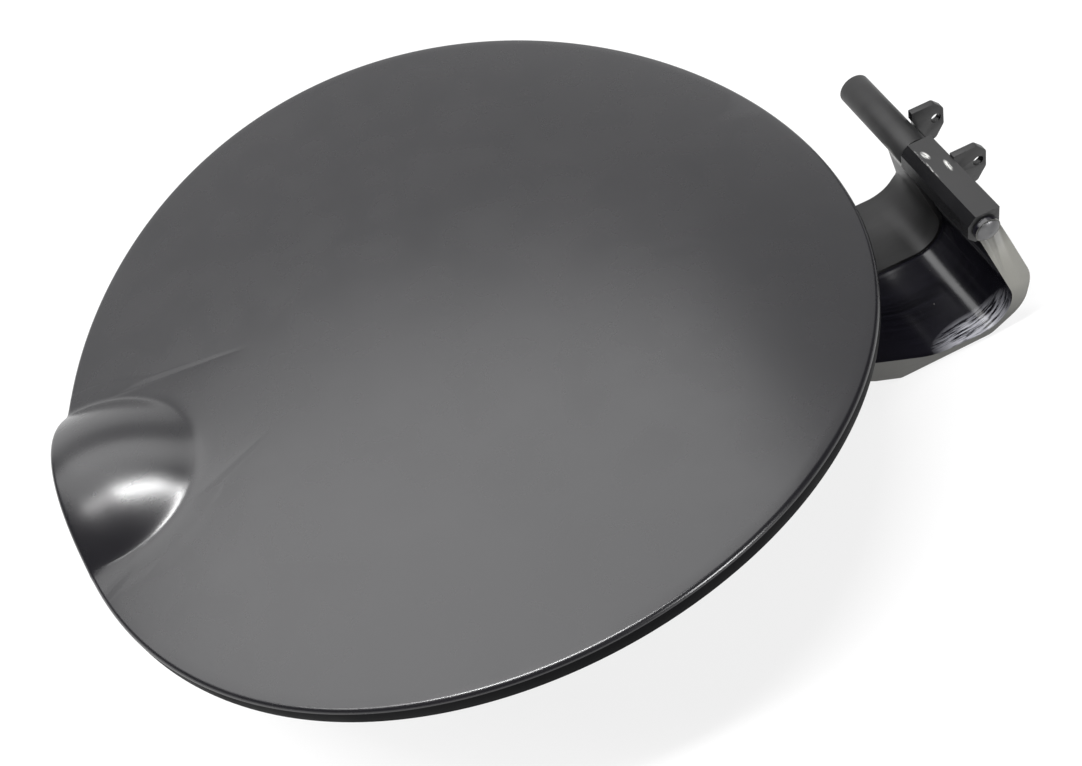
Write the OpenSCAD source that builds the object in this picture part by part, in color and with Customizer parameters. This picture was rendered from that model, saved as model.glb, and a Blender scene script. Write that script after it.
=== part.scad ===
// Round fuel door of pressed steel on a gooseneck hinge arm, lying closed.
// +X runs from the finger grip to the hinge, +Y along the hinge, +Z out of the panel.
// The origin is on the common bore of the hinge block's two mounting ears, midway between them.

/* [Door panel] */
// Diameter of the round door
door_d = 180; // [150:1:200]
// Thickness of the pressed sheet of skin and inner panel
sheet = 0.8; // [0.6:0.1:1.2]
// Radius of the crown across the door, grip to hinge
crown_r_across = 329; // [250:1:600]
// Radius of the crown along the hinge
crown_r_along = 2045; // [1000:5:4000]
// Turn of the crown's main directions against the hinge
crown_turn = 7.3; // [0:0.1:15]
// Rounding of the rim
rim_fillet = 1.5; // [1:0.1:2.5]
// Depth of the rim, from the crown to the folded hem
rim_depth = 4.5; // [4:0.1:7]
// Width of the hem folded over the inner panel
hem_w = 7; // [5:0.5:9]

/* [Finger grip] */
// Half length of the oval dome that the grip is cut from
grip_half_l = 29; // [24:0.5:32]
// Half width of the oval dome
grip_half_w = 21; // [17:0.5:24]
// Turn of the oval's length against the line across the door
grip_turn = -28.8; // [-35:0.1:0]
// Distance from the door's centre to the middle of the oval
grip_out = 84.6; // [80:0.1:88]
// Middle of the oval along the hinge
grip_y = 1.6; // [-4:0.1:4]
// Height of the dome above the crown
grip_h = 10.2; // [7:0.1:12]
// How far the dome's mouth lies inside the rim
grip_set = 2.3; // [0:0.1:4]

/* [Inner panel] */
// Depth of the dish pressed into the inner panel
dish = 4; // [2:0.5:6]
// Clearance between the inner panel and the folded hem
hem_clear = 0.15; // [0.1:0.01:0.3]

/* [Hinge axis] */
// Distance from the door's centre to the hinge axis
axis_out = 110.7; // [106:0.1:116]
// Depth of the hinge axis under the top of the crown
axis_drop = 20.4; // [18:0.1:24]
// Distance from the hinge axis to the bore of the ears
ear_out = 9.5; // [9:0.1:14]
// Radius of the hinge pin
pin_r = 1.5; // [1:0.1:2]
// Running clearance between pin and bore
pin_clear = 0.05; // [0.02:0.01:0.1]

/* [Barrel] */
// Outer radius of the rolled barrel
barrel_r = 3.75; // [3.2:0.05:4.2]
// Radius of the barrel's bore, which holds the spring
barrel_bore_r = 2.95; // [2.6:0.05:3.1]
// Far end of the barrel along the hinge
barrel_far = 24.5; // [18:0.5:30]
// End of the barrel at the hinge block
barrel_near = -2.5; // [-4:0.1:-1]
// Thickness of the leaf that is rolled into the barrel
leaf_t = 1; // [0.8:0.1:1.5]
// How far the leaf's face lies inside the barrel's round
leaf_inset = 0.25; // [0.1:0.05:0.5]

/* [Gooseneck arm] */
// Thickness of the arm's sheet
arm_t = 1.2; // [1:0.1:2]
// Near side face of the arm
arm_near = -31; // [-34:0.5:-30.5]
// Far side face of the arm at its base
arm_far = 20.6; // [16:0.1:24]
// Far edge of the arm where it leaves the barrel
arm_far_top = 4.5; // [3:0.1:10]
// Lean of the arm's wall from upright
wall_lean = 20.9; // [15:0.1:25]
// Length of the arm's wall from the hinge axis to its bend
wall_len = 23.7; // [20:0.1:27]
// Radius of the main bend
bend_r = 8; // [6:0.5:10]
// Length of the flat base
base_len = 7.2; // [5:0.1:10]
// Depth of the arm's side walls
side_d = 5; // [3:0.1:6]
// Depth of the side walls under the flat base
base_side_d = 2.4; // [1.5:0.1:3.5]
// Length of the foot fixed under the door
foot_len = 30; // [24:0.5:34]
// Half width of the foot
foot_half_w = 14; // [10:0.5:16]
// Middle of the foot along the hinge
foot_y = -6; // [-8:0.5:-4]

/* [Hinge block] */
// Clearance between the block and the pieces beside it
block_clear = 0.3; // [0.2:0.05:0.6]
// Height of the block above the hinge axis
block_top = 3.7; // [3.4:0.1:4.2]
// Radius of the bore through the ears
ear_bore_r = 1.25; // [1:0.05:2]
// Thickness of an ear
ear_t = 1.6; // [1.2:0.1:3]
// Near face of the far ear
ear_far_y = 4.6; // [3:0.1:6]
// Near face of the near ear
ear_near_y = -12.4; // [-16:0.1:-10]

/* [Latch and buffers] */
// Distance from the door's centre to the latch catch
catch_out = 50; // [46:0.5:54]
// Height of the catch under its seat
catch_h = 16; // [12:0.5:20]
// Radius of a rubber buffer
buffer_r = 4.5; // [3.5:0.1:5.5]
// Distance of each buffer from the door's centre line
buffer_side = 56; // [50:0.5:60]

/* [Hidden] */
$fn = 64;
e_coat = "#4c4c4d";
bare_black = "#2a2a2b";
rubber_black = "#1d1d1d";
zinc = "#9a9a96";

door_r = door_d / 2;
// The bore of the ears in the door's own coordinates
origin = [axis_out + ear_out, (ear_near_y + ear_far_y + ear_t) / 2, -axis_drop];

// Depth of the foot's top face under the crown, and its height over the hinge axis
foot_drop = 16.4;
foot_over_axis = axis_drop - foot_drop;

// The arm's side line: straight length, bend radius, turn (positive towards the throat)
base_rise_r = 18;
base_rise = 26.6;
slope_len = 12;
riser_r = 8;
riser_turn = 46.6;
foot_r = 6.2;
arm_lower = [
    [wall_len, bend_r, 90 + wall_lean],
    [base_len, base_rise_r, base_rise],
    [slope_len, riser_r, riser_turn]];
// Throat side of a heading
function throat(h) = [sin(h), -cos(h)];
function step(p, s) =
    let(k = sign(s[2]), at = [p[0], p[1]] + s[0] * [cos(p[2]), sin(p[2])] + k * s[1] * throat(p[2]),
        h = p[2] - s[2], q = at - k * s[1] * throat(h)) [q[0], q[1], h];
function walk(path, p, i = 0) = i == len(path) ? p : walk(path, step(p, path[i]), i + 1);
arm_heading = wall_lean - 90;
arm_start = (barrel_r - leaf_inset - leaf_t) * throat(arm_heading);
arm_line = [arm_start[0], arm_start[1], arm_heading];
riser_foot = walk(arm_lower, arm_line);
foot_bend = [0, foot_r, -base_rise - riser_turn];
bend_shift = step([0, 0, riser_foot[2]], foot_bend);
riser_len = (foot_over_axis - riser_foot[1] - bend_shift[1]) / sin(riser_foot[2]);
foot_root = 1.5;
arm_path = concat(arm_lower, [[riser_len, foot_bend[1], foot_bend[2]], [foot_root, 0, 0]]);
foot_x = axis_out + walk(arm_path, arm_line)[0];
foot_end = foot_x - foot_len;
foot_corner_r = 5;

// Outline of the side walls: top over the hinge axis and end behind it
side_top = 8;
side_back = -60;
knuckle_r = 2.9;

// The fixed block fills the gap between the barrel's end and the arm's near side wall
block_right = 3.6;
block_far = barrel_near - block_clear;
block_near = arm_near + arm_t + block_clear;
sweep_r = norm([block_right, block_top]) + 0.5;
rail_x = barrel_r + 0.4;
rail_t = 1;
rail_low = block_top + 1.5;
rail_top = -1;
rail_start = ear_near_y - 1.5;
ear_top = 4.5;
ear_low = 6.6;

// The barrel's closed end holds the pin's end
barrel_end = 1.6;
press_clear = 0.02;
pin_near = arm_near - 0.1;
pin_far = barrel_far - 0.4;

// Rivets, with the places where they pass through foot, catch and inner panel
rivet_r = 1.6;
rivet_head_r = 3;
rivet_head_h = 1;
rivet_edge = 6.5;
foot_rivets = [for (i = [-1, 1], j = [-1, 1])
    [(foot_x + foot_end) / 2 + i * (foot_len / 2 - rivet_edge), foot_y + j * (foot_half_w - rivet_edge)]];
catch_t = 1.5;
catch_half_w = 9;
catch_half_l = 6;
catch_edge = 3.6;
catch_rivets_at = [for (j = [-1, 1]) [-catch_out, j * (catch_half_w - catch_edge)]];
stem_r = 2;
buffer_x = -8;

// Flat seats pressed into the inner panel: centre, half lengths, height, flat margin
seat_clear = 0.1;
catch_seat = -13.6;
buffer_seat = -11.8;
seats = [
    [(foot_x + foot_end) / 2, foot_y, foot_len / 2, foot_half_w, seat_clear - foot_drop, 4],
    [-catch_out, 0, catch_half_l, catch_half_w, catch_seat, 3],
    [buffer_x, buffer_side, buffer_r, buffer_r, buffer_seat, 3],
    [buffer_x, -buffer_side, buffer_r, buffer_r, buffer_seat, 3]];

// Height of the crowned panel over the door's plane
function crown(x, y) =
    let(u = x * cos(crown_turn) + y * sin(crown_turn), v = y * cos(crown_turn) - x * sin(crown_turn))
    -u * u / (2 * crown_r_across) - v * v / (2 * crown_r_along);

// The raised grip: an oval dome, cut by the rim
grip_axis = [cos(grip_turn), sin(grip_turn)];
grip_mid = [grip_y * grip_axis[1] - grip_out * grip_axis[0],
    grip_y * grip_axis[0] + grip_out * grip_axis[1]];
function grip_rho2(x, y) =
    pow((x * grip_axis[0] + y * grip_axis[1] - grip_mid[0]) / grip_half_l, 2)
    + pow((y * grip_axis[0] - x * grip_axis[1] - grip_mid[1]) / grip_half_w, 2);
function grip_share(x, y) = max(0, 1 - grip_rho2(x, y));
function rim_share(a) = grip_share(door_r * cos(a), door_r * sin(a));
function rim_r(a) = door_r - grip_set * rim_share(a);

// Where a line from the door's centre crosses the oval: the middle of the crossing and the square
// of its half length, which is negative for a line that misses the oval
function crossing(a) =
    let(c = cos(a - grip_turn) / grip_half_l, s = sin(a - grip_turn) / grip_half_w,
        u = grip_mid[0] / grip_half_l, v = grip_mid[1] / grip_half_w,
        q = c * c + s * s, m = (c * u + s * v) / q)
    [m, m * m - (u * u + v * v - 1) / q];

// Faces of a closed shell with a pole at each end and rings of n points between them
function band(k, j, n) =
    let(a = k + j, b = k + (j + 1) % n) [[a, a + n, b], [b, a + n, b + n]];
function shell_faces(rings, n) = concat(
    [for (j = [0 : n - 1]) [0, 1 + j, 1 + (j + 1) % n]],
    [for (i = [0 : rings - 2], j = [0 : n - 1], f = band(1 + i * n, j, n)) f],
    [for (j = [0 : n - 1]) let(k = 1 + (rings - 1) * n) [k + j, k + n, k + (j + 1) % n]]);

module in_door() {
    translate(-origin) children();
}

// Extrudes a side profile, drawn round the hinge axis, from one station along the hinge to another
module across(y0, y1) {
    translate([-ear_out, y1 - origin[1], 0])
        rotate([90, 0, 0])
            linear_extrude(y1 - y0) children();
}

// Directions round the door, closer together over the grip
grip_from = 161;
grip_to = 199;
skin_dirs = concat(
    [for (k = [0 : 27]) grip_from + k * (grip_to - grip_from) / 28],
    [for (k = [0 : 55]) grip_to + k * (360 + grip_from - grip_to) / 56]);

// Distances from the door's centre along one direction, with one of them on the grip's foot
rim_flat = 1.5;
plain_half = 14.5;
plain_mid = door_r - rim_fillet - rim_flat - plain_half;
function skin_rings(a) =
    let(c = crossing(a), crosses = cos(a) < 0 && c[1] > 0,
        half = crosses ? sqrt(c[1]) : min(plain_half, sqrt(abs(c[1]))),
        mid = max(plain_mid, c[0]), foot = mid - max(3, half),
        out = min(rim_r(a) - rim_fillet - rim_flat, mid + max(3, half)))
    concat([15, 29, 42, foot - 4, foot], [for (k = [1 : 6]) foot + (out - foot) * k / 6]);

function skin_point(r, a, drop) =
    let(x = r * cos(a), y = r * sin(a)) [x, y, crown(x, y) + grip_h * grip_share(x, y) - drop];
// The hem narrows to little more than the sheet's edge before it reaches the grip's mouth
mouth_hem = sheet + 0.6;
hem_ease = 0.17;
function hem(a) =
    let(rho2 = grip_rho2(door_r * cos(a), door_r * sin(a)))
    cos(a) > 0 ? hem_w : hem_w + (mouth_hem - hem_w) * max(0, min(1, 1 - (rho2 - 1) / hem_ease));
function skin_profile(a) = let(r1 = rim_r(a), f = rim_fillet) concat(
    [for (r = skin_rings(a)) skin_point(r, a, 0)],
    [for (b = [0 : 30 : 90]) skin_point(r1 - f + f * sin(b), a, f - f * cos(b))],
    [skin_point(r1, a, rim_depth - 0.3), skin_point(r1 - 0.3, a, rim_depth)],
    [skin_point(r1 - hem(a), a, rim_depth), skin_point(r1 - hem(a), a, rim_depth - sheet)],
    [skin_point(r1 - sheet, a, rim_depth - sheet), skin_point(r1 - sheet, a, f)],
    [skin_point(r1 - f, a, sheet)],
    [for (k = [9, 8, 6, 4, 3, 2, 1, 0]) skin_point(skin_rings(a)[k], a, sheet)]);

module door_skin() {
    profiles = [for (a = skin_dirs) skin_profile(a)];
    n = len(profiles);
    rings = len(profiles[0]);
    points = concat([[0, 0, 0]], [for (i = [0 : rings - 1], j = [0 : n - 1]) profiles[j][i]],
                    [[0, 0, -sheet]]);
    color(e_coat) in_door() polyhedron(points, shell_faces(rings, n), convexity = 6);
}

// The inner panel follows the crown inside the hem, is dished behind it and flat at each seat
panel_low = rim_depth - sheet - hem_clear;
panel_r = door_r - sheet - 0.4;
panel_rings = [12, 22, 30, 37, 43, 49, 55, 61, 67, 72, 77, 82, panel_r];
panel_n = 72;
ramp = 7;

function ease(t) = let(s = max(0, min(1, t))) s * s * (3 - 2 * s);
function seat_share(s, x, y) =
    1 - ease((norm([max(0, abs(x - s[0]) - s[2]), max(0, abs(y - s[1]) - s[3])]) - s[5]) / ramp);
function field(x, y) =
    crown(x, y) - panel_low - sheet - dish * ease((door_r - hem_w - 1 - norm([x, y])) / ramp);
// Seats end before the hem, whose clearance stays the same all round
function inside_hem(x, y) = ease((door_r - hem_w - 0.5 - norm([x, y])) / (ramp / 2));
function seated(x, y, z, i = 0) = i == len(seats) ? z :
    let(w = seat_share(seats[i], x, y) * inside_hem(x, y)) seated(x, y, z + (seats[i][4] - z) * w, i + 1);
function panel_point(r, j, up) =
    let(x = r * cos(j * 360 / panel_n), y = r * sin(j * 360 / panel_n))
    [x, y, seated(x, y, field(x, y) + sheet) + up];

module panel_hole(p, r, z) {
    translate([p[0], p[1], z - 3]) cylinder(r = r, h = 8);
}

module inner_panel() {
    rings = len(panel_rings);
    back = [for (i = [rings - 1 : -1 : 0]) panel_rings[i]];
    points = concat([panel_point(0, 0, sheet)],
        [for (r = panel_rings, j = [0 : panel_n - 1]) panel_point(r, j, sheet)],
        [for (r = back, j = [0 : panel_n - 1]) panel_point(r, j, 0)],
        [panel_point(0, 0, 0)]);
    color(bare_black) in_door() difference() {
        polyhedron(points, shell_faces(2 * rings, panel_n), convexity = 6);
        for (p = foot_rivets) panel_hole(p, rivet_r, -foot_drop);
        for (p = catch_rivets_at) panel_hole(p, rivet_r, catch_seat);
        for (s = [-1, 1]) panel_hole([buffer_x, s * buffer_side], stem_r, buffer_seat);
    }
}

// A rivet clamping everything between two heights
module rivet(low, high) {
    translate([0, 0, low - rivet_head_h]) cylinder(r = rivet_head_r, h = rivet_head_h);
    translate([0, 0, low - rivet_head_h / 2]) cylinder(r = rivet_r, h = high - low + rivet_head_h);
    translate([0, 0, high]) cylinder(r = rivet_head_r - 0.6, h = rivet_head_h);
}

module arm_rivets() {
    color(zinc) in_door() for (p = foot_rivets) translate([p[0], p[1], 0])
        rivet(-foot_drop - arm_t, -foot_drop + seat_clear + sheet);
}

module catch_rivets() {
    color(zinc) in_door() for (p = catch_rivets_at) translate([p[0], p[1], 0])
        rivet(catch_seat - seat_clear - catch_t, catch_seat + sheet);
}

// A sheet bent along a path, lo thick on the throat side of the line and hi on the other side
arc_step = 5;
function edge(path, p, off, i = 0) = i == len(path) ? [] :
    let(s = path[i], k = sign(s[2]), h = p[2], n = ceil(abs(s[2]) / arc_step),
        c = [p[0], p[1]] + s[0] * [cos(h), sin(h)] + k * s[1] * throat(h))
    concat([for (j = [0 : n]) c - (k * s[1] + off) * throat(h - s[2] * j / max(1, n))],
        edge(path, step(p, s), off, i + 1));
function side(path, off) =
    concat([arm_start - off * throat(arm_heading)], edge(path, arm_line, off));

module strip(path, lo, hi) {
    inner = side(path, -lo);
    last = len(inner) - 1;
    polygon(concat(side(path, hi), [for (j = [0 : last]) inner[last - j]]));
}

// A place beside the arm's wall: along it from the hinge axis, and out from its throat face
function beside_wall(along, out) =
    arm_start + along * [cos(arm_heading), sin(arm_heading)] - out * throat(arm_heading);

// An outline whose corners are rounded, each by its own radius
function corner(a, b, c, r) = r == 0 ? [b] :
    let(u = (a - b) / norm(a - b), v = (c - b) / norm(c - b), half = acos(u * v) / 2,
        mid = b + (u + v) / norm(u + v) * r / sin(half),
        from = b + u * r / tan(half) - mid, to = b + v * r / tan(half) - mid, n = 6)
    [for (k = [0 : n]) let(d = from * (n - k) + to * k) mid + d * r / norm(d)];
function rounded(p, radii) = let(n = len(p))
    [for (i = [0 : n - 1]) each corner(p[(i + n - 1) % n], p[i], p[(i + 1) % n], radii[i])];

// The side walls are cut to this outline, deep beside the wall and shallow under the base
module side_outline() {
    base = walk([arm_lower[0]], arm_line);
    floor_z = base[1] - base_side_d;
    polygon(rounded([[side_back, side_top], beside_wall(-side_top, side_d),
        beside_wall(wall_len / 3, side_d + 0.4), beside_wall(wall_len, side_d + 0.6),
        beside_wall(wall_len + bend_r, side_d / 5), [base[0] + 3, floor_z + 0.8],
        [base[0] - 3 * base_len, floor_z], [side_back, foot_over_axis - 2 * bend_r]],
        [0, 0, bend_r, 1.5 * bend_r, bend_r, 4, bend_r, 0]));
}

module side_wall() {
    intersection() {
        strip(arm_path, 0, side_d + 1);
        side_outline();
    }
}

// Far edge of arm and leaf: narrow at the barrel and flaring to full width at the base
module far_edge_cut() {
    low = -wall_len - 1.5 * bend_r;
    flare_end = -wall_len - bend_r / 2;
    top = 3 * barrel_r;
    beyond = 2 * arm_far;
    translate([-ear_out + 3 * side_d, -origin[1], 0])
        rotate([0, -90, 0])
            linear_extrude(7 * side_d)
                polygon(rounded([[-barrel_r / 2, arm_far_top], [flare_end, arm_far - bend_r / 4],
                    [low, arm_far], [low, beyond], [top, beyond], [top, arm_far_top]],
                    [bend_r / 2, bend_r, 0, 0, 0, 0]));
}

module hinge_arm() {
    color(bare_black) {
        difference() {
            union() {
                across(arm_near, arm_far) strip(arm_path, 0, arm_t);
                across(arm_far - arm_t, arm_far) side_wall();
            }
            across(arm_near + arm_t, arm_far + 1) circle(sweep_r);
            far_edge_cut();
        }
        difference() {
            across(arm_near, arm_near + arm_t) union() {
                side_wall();
                circle(knuckle_r);
            }
            across(arm_near - 1, arm_near + arm_t + 1) circle(pin_r + pin_clear);
        }
        // Foot: a flat plate under the door's seat
        in_door() translate([0, 0, -foot_drop - arm_t]) linear_extrude(arm_t) difference() {
            foot_plan();
            for (p = foot_rivets) translate(p) circle(rivet_r);
        }
    }
}

// Outline of the foot, with two rounded free corners
module foot_plan() {
    r = foot_corner_r;
    translate([foot_end + r, foot_y - foot_half_w])
        square([foot_len - r + foot_root / 2, 2 * foot_half_w]);
    translate([foot_end, foot_y - foot_half_w + r])
        square([r + 1, 2 * (foot_half_w - r)]);
    for (j = [-1, 1])
        translate([foot_end + r, foot_y + j * (foot_half_w - r)]) circle(r);
}

// Leaf lying on the arm's throat face, rolled into the barrel over the pin
module barrel_leaf() {
    leaf_path = [arm_path[0], arm_path[1], [slope_len, 0, 0]];
    color(e_coat) difference() {
        union() {
            difference() {
                across(barrel_near, arm_far) strip(leaf_path, leaf_t, 0);
                far_edge_cut();
            }
            across(barrel_near, barrel_far) circle(barrel_r);
        }
        across(barrel_near - 1, barrel_far - barrel_end) circle(barrel_bore_r);
        across(barrel_near, barrel_far + 1) circle(pin_r + press_clear);
    }
}

// Pin with a low round head against the arm's near side wall
module hinge_pin() {
    head_r = 1.75 * pin_r;
    head_h = 0.9;
    head_sink = 3.6;
    color(zinc) {
        across(pin_near, pin_far) circle(pin_r);
        translate([-ear_out, pin_near - origin[1], 0]) rotate([90, 0, 0]) rotate_extrude()
            intersection() {
                translate([0, -head_sink]) circle(r = head_h + head_sink);
                square([head_r, head_h + 1]);
            }
    }
}

// Torsion spring wound round the pin inside the barrel
spring_r = (pin_r + barrel_bore_r) / 2;
spring_wire = barrel_bore_r - pin_r - 0.65;
spring_turns = 9;
spring_start = barrel_near + 1.6;
spring_len = barrel_far - barrel_end - spring_start - 3;
spring_sides = 6;
function spring_at(t) = let(a = 360 * spring_turns * t)
    [spring_r * cos(a), spring_start + spring_len * t, spring_r * sin(a)];
function spring_ring(t) =
    let(a = 360 * spring_turns * t, out = [cos(a), 0, sin(a)], along = [0, 1, 0])
    [for (k = [0 : spring_sides - 1]) let(b = k * 360 / spring_sides)
        spring_at(t) + spring_wire / 2 * (cos(b) * out + sin(b) * along)];

module closing_spring() {
    steps = spring_turns * 12;
    rings = [for (i = [0 : steps]) spring_ring(i / steps)];
    points = concat([spring_at(0)],
        [for (i = [0 : steps], k = [0 : spring_sides - 1]) rings[i][k]],
        [spring_at(1)]);
    color(zinc) translate([-ear_out, -origin[1], 0])
        polyhedron(points, shell_faces(steps + 1, spring_sides), convexity = 20);
}

// Fixed block with the pin bore, a rail behind the barrel and the two mounting ears
module block_section() {
    back = -barrel_r;
    polygon([[-2, block_top], [back, 1.6], [back, -1.8], [-2, -block_top], [block_right, -block_top],
        [block_right, block_top]]);
}

module ear_section() {
    front = block_right - 0.1;
    difference() {
        polygon(rounded([[front, ear_top], [ear_out - 0.3, ear_top], [ear_out + 1.9, ear_top / 2],
            [ear_out + 2, -2.4], [ear_out, 0.8 - ear_low], [rail_x + 0.5, -ear_low],
            [block_right, -block_top], [front, -1]], [0, 1, 1.2, 1, 1, 0, 0, 0]));
        circle(rail_x);
        translate([ear_out, 0]) circle(ear_bore_r);
    }
}

module hinge_block() {
    rail_h = rail_low + rail_top;
    color(bare_black) {
        difference() {
            across(block_near, block_far) block_section();
            across(block_near - 1, block_far + 1) circle(pin_r + pin_clear);
        }
        for (y = [ear_near_y, ear_far_y]) across(y, y + ear_t) ear_section();
        // Rail that carries the ears behind the barrel, joined to the block beside it
        across(rail_start, ear_far_y + ear_t) translate([rail_x, -rail_low]) square([rail_t, rail_h]);
        across(rail_start, block_far) translate([block_right - 1, -block_top])
            square([rail_x + rail_t / 2 - block_right + 1, block_top + rail_top]);
    }
}

// Catch with an upright leg, whose eye the lock's bolt enters
module latch_catch() {
    eye_r = 2.6;
    eye_rise = 4;
    end_r = 5;
    color(zinc) in_door() translate([-catch_out, 0, catch_seat - seat_clear]) {
        translate([0, 0, -catch_t]) linear_extrude(catch_t) difference() {
            square([2 * catch_half_l, 2 * catch_half_w], center = true);
            for (j = [-1, 1]) translate([0, j * (catch_half_w - catch_edge)]) circle(rivet_r);
        }
        translate([catch_half_l - catch_t, 0, 0]) rotate([90, 0, 90]) linear_extrude(catch_t)
            translate([0, end_r - catch_h]) difference() {
                union() {
                    translate([-end_r, 0]) square([2 * end_r, catch_h - end_r - catch_t / 2]);
                    circle(end_r);
                }
                translate([-eye_r, 0]) square([2 * eye_r, eye_rise]);
                for (rise = [0, eye_rise]) translate([0, rise]) circle(eye_r);
            }
    }
}

// Rubber buffer whose ribbed stem is pushed through the inner panel
module rest_buffers() {
    foot_h = 7;
    neck_r = stem_r - 0.05;
    grip_z = sheet + 0.3;
    tip_z = sheet + 2.4;
    color(rubber_black) in_door() for (s = [-1, 1])
        translate([buffer_x, s * buffer_side, buffer_seat - seat_clear]) rotate_extrude()
            polygon([[0, -foot_h], [buffer_r - 2, -foot_h], [buffer_r - 1, 1 - foot_h], [buffer_r, -1],
                [buffer_r, 0], [neck_r, 0], [neck_r, grip_z], [stem_r + 0.8, grip_z],
                [stem_r - 0.4, tip_z], [0, tip_z]]);
}

door_skin();
inner_panel();
hinge_arm();
barrel_leaf();
arm_rivets();
latch_catch();
catch_rivets();
rest_buffers();
hinge_pin();
closing_spring();
hinge_block();
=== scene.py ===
from math import cos, hypot, pi, radians, sin, sqrt
import bmesh
import bpy
from mathutils import Matrix, Vector


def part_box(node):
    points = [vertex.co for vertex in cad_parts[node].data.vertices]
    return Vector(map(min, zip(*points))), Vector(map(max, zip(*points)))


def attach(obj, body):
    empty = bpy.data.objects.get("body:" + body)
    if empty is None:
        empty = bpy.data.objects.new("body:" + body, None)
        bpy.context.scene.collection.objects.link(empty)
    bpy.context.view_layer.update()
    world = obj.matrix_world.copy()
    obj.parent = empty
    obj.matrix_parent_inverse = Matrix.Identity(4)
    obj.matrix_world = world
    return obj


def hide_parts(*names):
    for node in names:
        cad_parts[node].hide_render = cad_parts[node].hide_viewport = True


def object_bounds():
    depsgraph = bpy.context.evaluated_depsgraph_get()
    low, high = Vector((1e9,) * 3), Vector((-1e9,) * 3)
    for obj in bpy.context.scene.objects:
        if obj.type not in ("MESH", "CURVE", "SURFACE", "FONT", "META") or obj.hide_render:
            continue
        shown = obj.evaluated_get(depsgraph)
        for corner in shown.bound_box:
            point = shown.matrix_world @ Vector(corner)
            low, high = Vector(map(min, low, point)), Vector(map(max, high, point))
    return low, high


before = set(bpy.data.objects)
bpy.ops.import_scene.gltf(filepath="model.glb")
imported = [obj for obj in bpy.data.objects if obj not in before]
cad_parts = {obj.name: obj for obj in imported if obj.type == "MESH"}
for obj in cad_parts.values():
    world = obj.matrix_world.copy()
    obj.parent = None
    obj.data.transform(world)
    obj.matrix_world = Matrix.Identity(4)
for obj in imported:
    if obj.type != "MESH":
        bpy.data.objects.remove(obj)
cad_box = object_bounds()


# Camera
# The photograph looks down on the closed door from the grip's end of the hinge line.
# Place and direction come from fitting the round rim, and the long side is 1082 pixels.
focal_px = 1300
image_width_px = 1082
camera_data = bpy.data.cameras.new("camera")
camera_data.sensor_width = 36
camera_data.lens = camera_data.sensor_width * focal_px / image_width_px
camera_data.clip_start = 0.01
camera = bpy.data.objects.new("camera", camera_data)
bpy.context.collection.objects.link(camera)
camera_right = Vector((0.9052, -0.3485, -0.2431))
camera_ahead = Vector((0.0438, 0.6457, -0.7624))
camera_axes = Matrix((camera_right, camera_right.cross(camera_ahead), -camera_ahead)).transposed()
camera.matrix_world = Matrix.Translation((-0.1197, -0.1928, 0.2111)) @ camera_axes.to_4x4()
bpy.context.scene.camera = camera
bpy.context.scene.view_settings.view_transform = "Standard"


# Floor
# A plain pale sheet just under the lowest bend of the arm. Camera, glossy and transmitted
# rays see it lifted towards white, and its diffuse part keeps the door's shadow.
floor_drop = 0.0005
floor_half = 3.0
paper_white = 0.85
lifted_share = 0.8
floor_z = cad_box[0].z - floor_drop
floor_mesh = bpy.data.meshes.new("floor")
floor_mesh.from_pydata(
    [(-floor_half, -floor_half, floor_z), (floor_half, -floor_half, floor_z),
     (floor_half, floor_half, floor_z), (-floor_half, floor_half, floor_z)], [], [(0, 1, 2, 3)])
floor = bpy.data.objects.new("floor", floor_mesh)
bpy.context.collection.objects.link(floor)
floor_paper = bpy.data.materials.new("floor_paper")
floor_paper.use_nodes = True
nodes = floor_paper.node_tree.nodes
links = floor_paper.node_tree.links
nodes.clear()
diffuse = nodes.new("ShaderNodeBsdfDiffuse")
diffuse.inputs["Color"].default_value = (paper_white, paper_white, paper_white, 1)
glow = nodes.new("ShaderNodeEmission")
glow.inputs["Strength"].default_value = 1.0
ray = nodes.new("ShaderNodeLightPath")
seen = nodes.new("ShaderNodeMath")
seen.operation = "MAXIMUM"
seen_through = nodes.new("ShaderNodeMath")
seen_through.operation = "MAXIMUM"
share = nodes.new("ShaderNodeMath")
share.operation = "MULTIPLY"
share.inputs[1].default_value = lifted_share
both = nodes.new("ShaderNodeMixShader")
out = nodes.new("ShaderNodeOutputMaterial")
links.new(ray.outputs["Is Camera Ray"], seen.inputs[0])
links.new(ray.outputs["Is Glossy Ray"], seen.inputs[1])
links.new(seen.outputs[0], seen_through.inputs[0])
links.new(ray.outputs["Is Transmission Ray"], seen_through.inputs[1])
links.new(seen_through.outputs[0], share.inputs[0])
links.new(share.outputs[0], both.inputs["Fac"])
links.new(diffuse.outputs[0], both.inputs[1])
links.new(glow.outputs[0], both.inputs[2])
links.new(both.outputs[0], out.inputs["Surface"])
floor_mesh.materials.append(floor_paper)


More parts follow.
